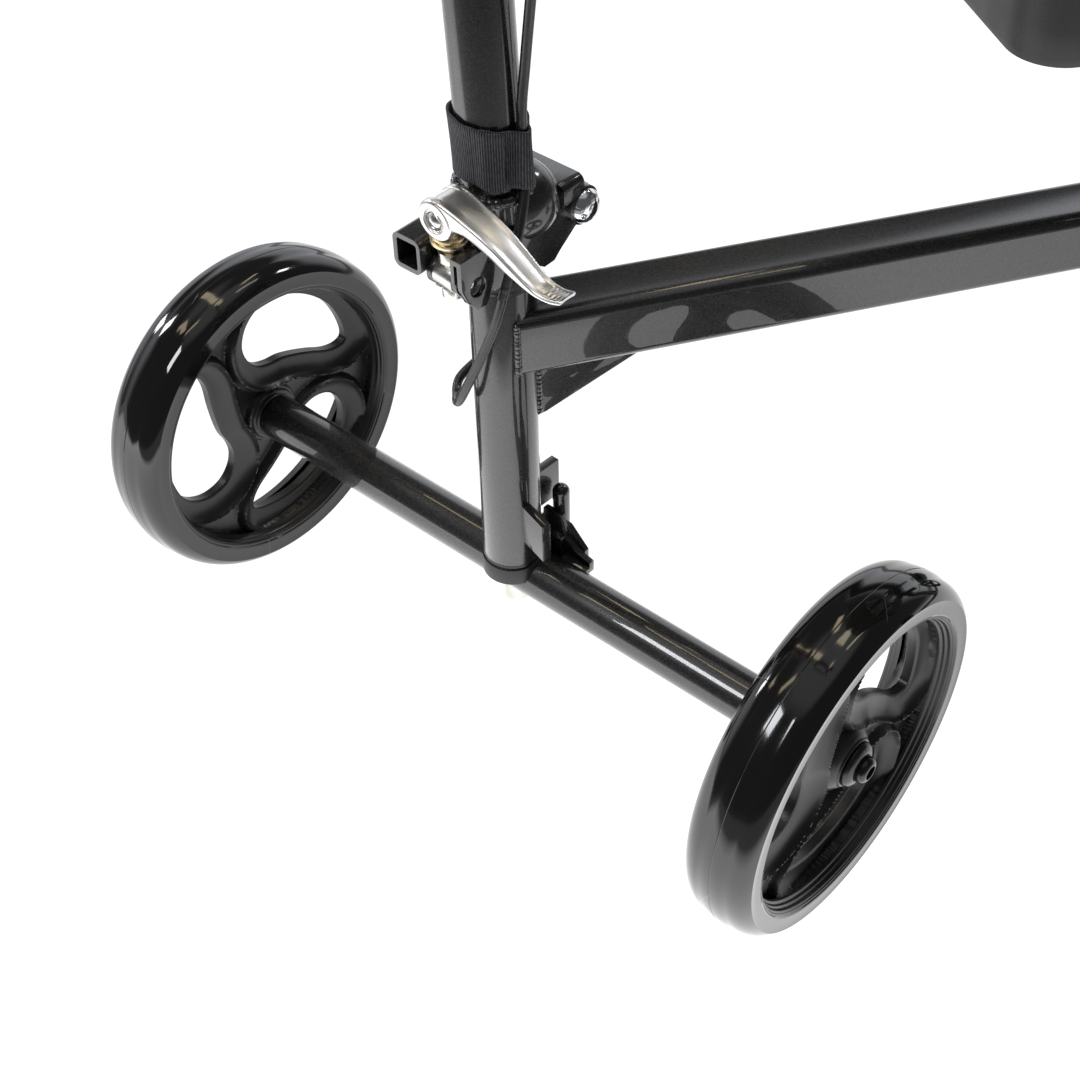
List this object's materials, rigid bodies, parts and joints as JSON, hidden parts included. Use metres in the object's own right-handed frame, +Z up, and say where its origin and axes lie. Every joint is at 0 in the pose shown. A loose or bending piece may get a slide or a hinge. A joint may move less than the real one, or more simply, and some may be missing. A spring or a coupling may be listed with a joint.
{
  "type": "knee scooter",
  "caption": "Folding knee scooter: steered front axle, padded knee rest on a box beam, height-adjustable handlebar with a brake lever and small solid wheels.",
  "frame": {"origin": "on the floor, at the middle of the overall box, in the frame's plane of symmetry", "axes": "+Z up, -Y forwards (the way it rolls), +X to the rider's left; the steering is at its left stop at rest"},
  "size_m": [0.4762, 0.8661, 0.9051],
  "materials": {
    "gloss_black_frame": "gloss black paint with a fine metallic fleck",
    "zinc_steel": "bright zinc plate",
    "chrome_steel": "polished chrome",
    "brass_washer": "plain brass",
    "black_casting": "satin black powder coat on casting",
    "rim_plastic": "black glass-filled nylon, semi gloss",
    "tyre_pu": "smooth black polyurethane",
    "black_plastic": "satin black plastic",
    "grip_foam": "black foam rubber",
    "cable_jacket": "black PVC cable housing",
    "strap_fabric": "black hook-and-loop webbing",
    "pad_vinyl": "black grained vinyl",
    "brushed_aluminium": "brushed aluminium",
    "polished_aluminium": "polished cast aluminium",
    "brake_rubber": "dense black rubber"
  },
  "bodies": {
    "frame": {"head_tube": "gloss_black_frame", "head_bushes": "black_plastic", "main_beam": "gloss_black_frame", "frame_gussets": "gloss_black_frame", "rear_crossbar": "gloss_black_frame", "rear_axle_washers": "black_plastic", "rear_axle_bolts": "zinc_steel", "pad_sleeve": "gloss_black_frame", "pad_clamp": "black_casting", "cable_frame": "cable_jacket", "cable_clips": "black_plastic", "brake_bracket": "gloss_black_frame", "brake_wire": "zinc_steel"},
    "steerer": {"steerer_stem": "zinc_steel", "stem_rings": "black_casting", "stem_bolt": "zinc_steel", "stop_bracket": "gloss_black_frame", "front_crossbar": "gloss_black_frame", "front_axle_washers": "black_plastic", "front_axle_bolts": "zinc_steel", "lower_hinge_bracket": "gloss_black_frame", "hinge_pins": "chrome_steel", "cable_loop": "cable_jacket", "cable_hinge": "cable_jacket"},
    "column": {"upper_hinge_bracket": "gloss_black_frame", "column_tube": "gloss_black_frame", "height_clamp": "black_casting", "cable_strap": "strap_fabric", "cable_upper": "cable_jacket"},
    "handlebar_unit": {"stem_tube": "brushed_aluminium", "handlebar": "gloss_black_frame", "bar_clamp": "black_casting", "left_grip": "grip_foam", "right_grip": "grip_foam", "brake_perch": "black_casting"},
    "brake_lever": {"brake_lever": "black_casting"},
    "swing_bolt": {"swing_bolt": "zinc_steel", "clamp_washers": "brass_washer", "cam_pin": "zinc_steel"},
    "cam_lever": {"cam_lever": "polished_aluminium"},
    "height_lever": {"height_lever": "polished_aluminium"},
    "knee_pad": {"pad_post": "gloss_black_frame", "pad_pan": "black_plastic", "pad_cushion": "pad_vinyl", "pad_bolts": "zinc_steel"},
    "pad_lever": {"pad_lever": "polished_aluminium"},
    "brake_arm": {"brake_arm": "black_casting", "brake_shoe": "brake_rubber"},
    "front_left_wheel": {"front_left_tyre": "tyre_pu", "front_left_rim": "rim_plastic", "front_left_bearings": "zinc_steel"},
    "front_right_wheel": {"front_right_tyre": "tyre_pu", "front_right_rim": "rim_plastic", "front_right_bearings": "zinc_steel"},
    "rear_left_wheel": {"rear_left_tyre": "tyre_pu", "rear_left_rim": "rim_plastic", "rear_left_bearings": "zinc_steel"},
    "rear_right_wheel": {"rear_right_tyre": "tyre_pu", "rear_right_rim": "rim_plastic", "rear_right_bearings": "zinc_steel"}
  },
  "joints": [
    {"name": "steering", "type": "hinge", "parent": "frame", "child": "steerer", "pos_m": [0, -0.2326, 0.2], "axis": [0, 0, 1], "range_deg": [-70.6, 0], "deforming": ["cable_loop"]},
    {"name": "column_fold", "type": "hinge", "parent": "steerer", "child": "column", "pos_m": [-0.0208, -0.20322, 0.319], "axis": [0.8161, 0.5779, 0], "range_deg": [-40, 0], "deforming": ["cable_hinge"]},
    {"name": "bar_height", "type": "slide", "parent": "column", "child": "handlebar_unit", "axis": [0.0272, -0.0384, 0.9989], "range_m": [-0.1, 0.06], "deforming": ["cable_upper"]},
    {"name": "brake_squeeze", "type": "hinge", "parent": "handlebar_unit", "child": "brake_lever", "pos_m": [0.1362, -0.20864, 0.87485], "axis": [0.0272, -0.0384, 0.9989], "range_deg": [0, 18], "stiffness_Nm_per_rad": 0.4, "springref_deg": -11.46},
    {"name": "bolt_swing", "type": "hinge", "parent": "steerer", "child": "swing_bolt", "pos_m": [0.01791, -0.2579, 0.308], "axis": [0.8161, 0.5779, 0], "range_deg": [0, 116]},
    {"name": "cam_release", "type": "hinge", "parent": "swing_bolt", "child": "cam_lever", "pos_m": [0.01791, -0.2579, 0.3397], "axis": [-0.5779, 0.8161, 0], "range_deg": [-105, 0]},
    {"name": "height_release", "type": "hinge", "parent": "column", "child": "height_lever", "pos_m": [0.00643, -0.21399, 0.62991], "axis": [0.0272, -0.0384, 0.9989], "range_deg": [0, 100]},
    {"name": "pad_height", "type": "slide", "parent": "frame", "child": "knee_pad", "axis": [0, 0, 1], "range_m": [-0.05, 0.025]},
    {"name": "pad_release", "type": "hinge", "parent": "frame", "child": "pad_lever", "pos_m": [0.016, 0.1274, 0.3175], "axis": [0, 0, 1], "range_deg": [0, 100]},
    {"name": "brake_apply", "type": "hinge", "parent": "frame", "child": "brake_arm", "pos_m": [-0.169, 0.2493, 0.126], "axis": [1, 0, 0], "range_deg": [-3, 0], "deforming": ["brake_wire", "cable_frame"]},
    {"name": "front_left_spin", "type": "hinge", "parent": "steerer", "child": "front_left_wheel", "pos_m": [0.16227, -0.11048, 0.1], "axis": [0.8161, 0.5779, 0], "continuous": true},
    {"name": "front_right_spin", "type": "hinge", "parent": "steerer", "child": "front_right_wheel", "pos_m": [-0.16909, -0.34509, 0.1], "axis": [0.8161, 0.5779, 0], "continuous": true},
    {"name": "rear_left_spin", "type": "hinge", "parent": "frame", "child": "rear_left_wheel", "pos_m": [0.203, 0.3333, 0.1], "axis": [1, 0, 0], "continuous": true},
    {"name": "rear_right_spin", "type": "hinge", "parent": "frame", "child": "rear_right_wheel", "pos_m": [-0.203, 0.3333, 0.1], "axis": [1, 0, 0], "continuous": true}
  ],
  "couplings": [
    {"joint": "bolt_swing", "follows": "column_fold", "ratio": -2.9},
    {"joint": "brake_apply", "follows": "brake_squeeze", "ratio": -0.16666}
  ]
}
